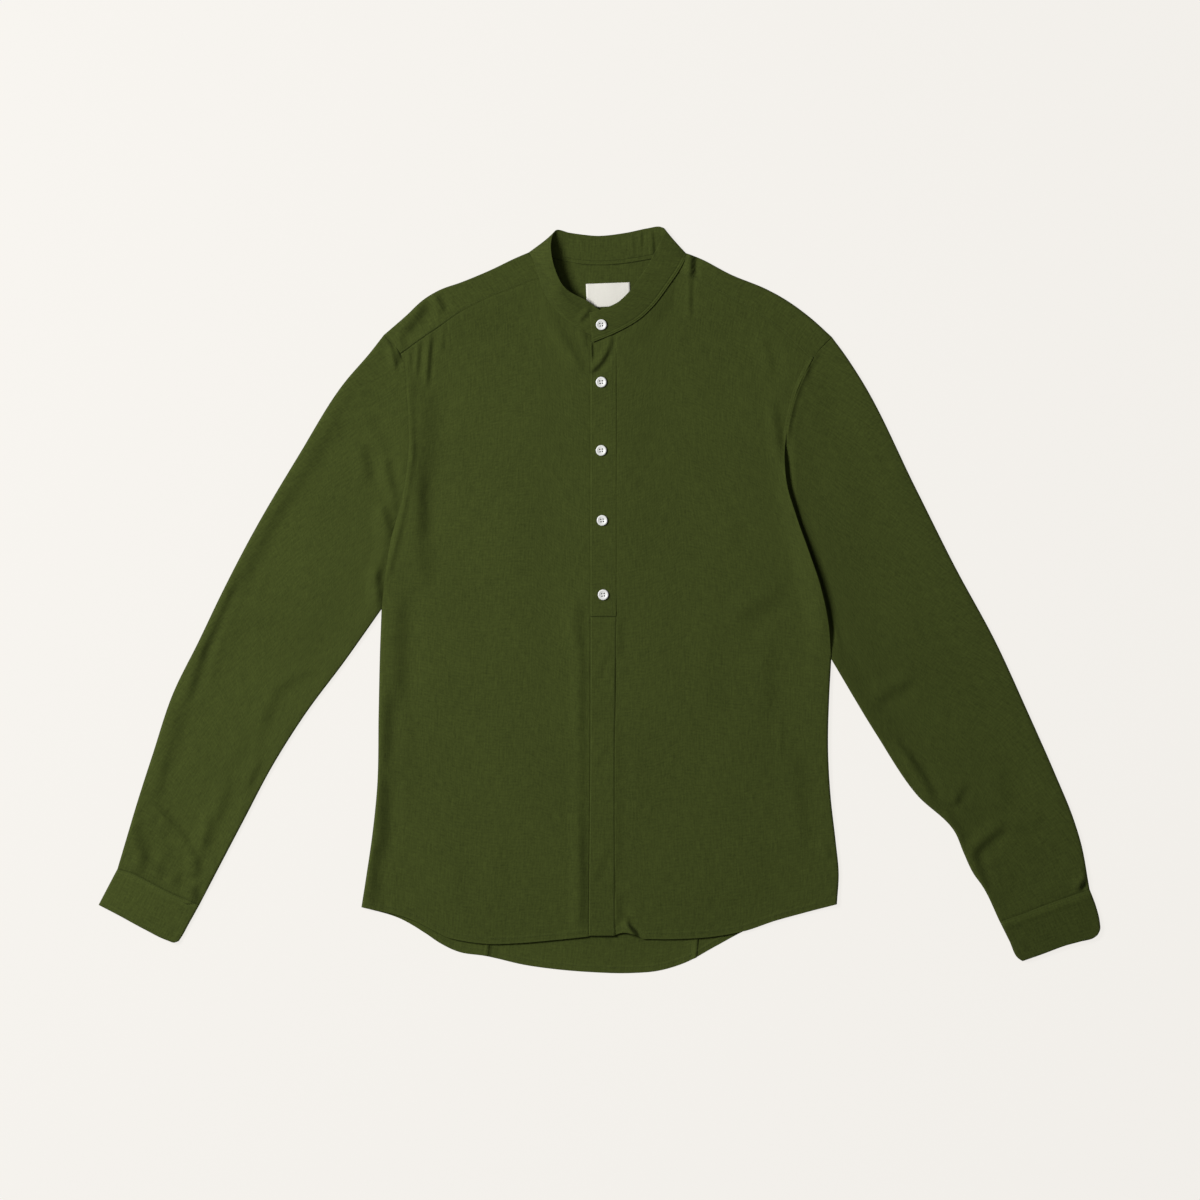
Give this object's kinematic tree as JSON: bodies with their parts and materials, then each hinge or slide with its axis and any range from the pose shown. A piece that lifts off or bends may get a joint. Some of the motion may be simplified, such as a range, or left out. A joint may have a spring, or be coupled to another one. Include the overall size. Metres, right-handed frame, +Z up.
{
  "type": "band-collar popover shirt",
  "caption": "Long-sleeved popover shirt with a band collar, laid flat with its front up; buttons run half way down and a plain strip closes the rest.",
  "frame": {"origin": "centre of the box round the shirt, on the surface it lies on", "axes": "+X towards the wearer's left sleeve, +Y towards the neck, +Z up out of the front"},
  "size_m": [1.0618, 0.7907, 0.017],
  "materials": {
    "cloth": "matt olive plain weave with slight slubs",
    "label": "cream woven tape, left blank",
    "button": "polished off-white, four holes"
  },
  "bodies": {
    "root": {"front_right": "cloth", "front_left": "cloth", "back_centre": "cloth", "back_side_right": "cloth", "back_side_left": "cloth", "yoke": "cloth", "collar_band": "cloth", "placket": "cloth", "button_stand": "cloth", "centre_strip": "cloth", "sleeve_right": "cloth", "sleeve_left": "cloth", "cuff_right": "cloth", "cuff_left": "cloth", "neck_label": "label", "button_1": "button", "button_2": "button", "button_3": "button", "button_4": "button", "button_5": "button", "cuff_button_right": "button", "cuff_button_left": "button"}
  },
  "joints": []
}
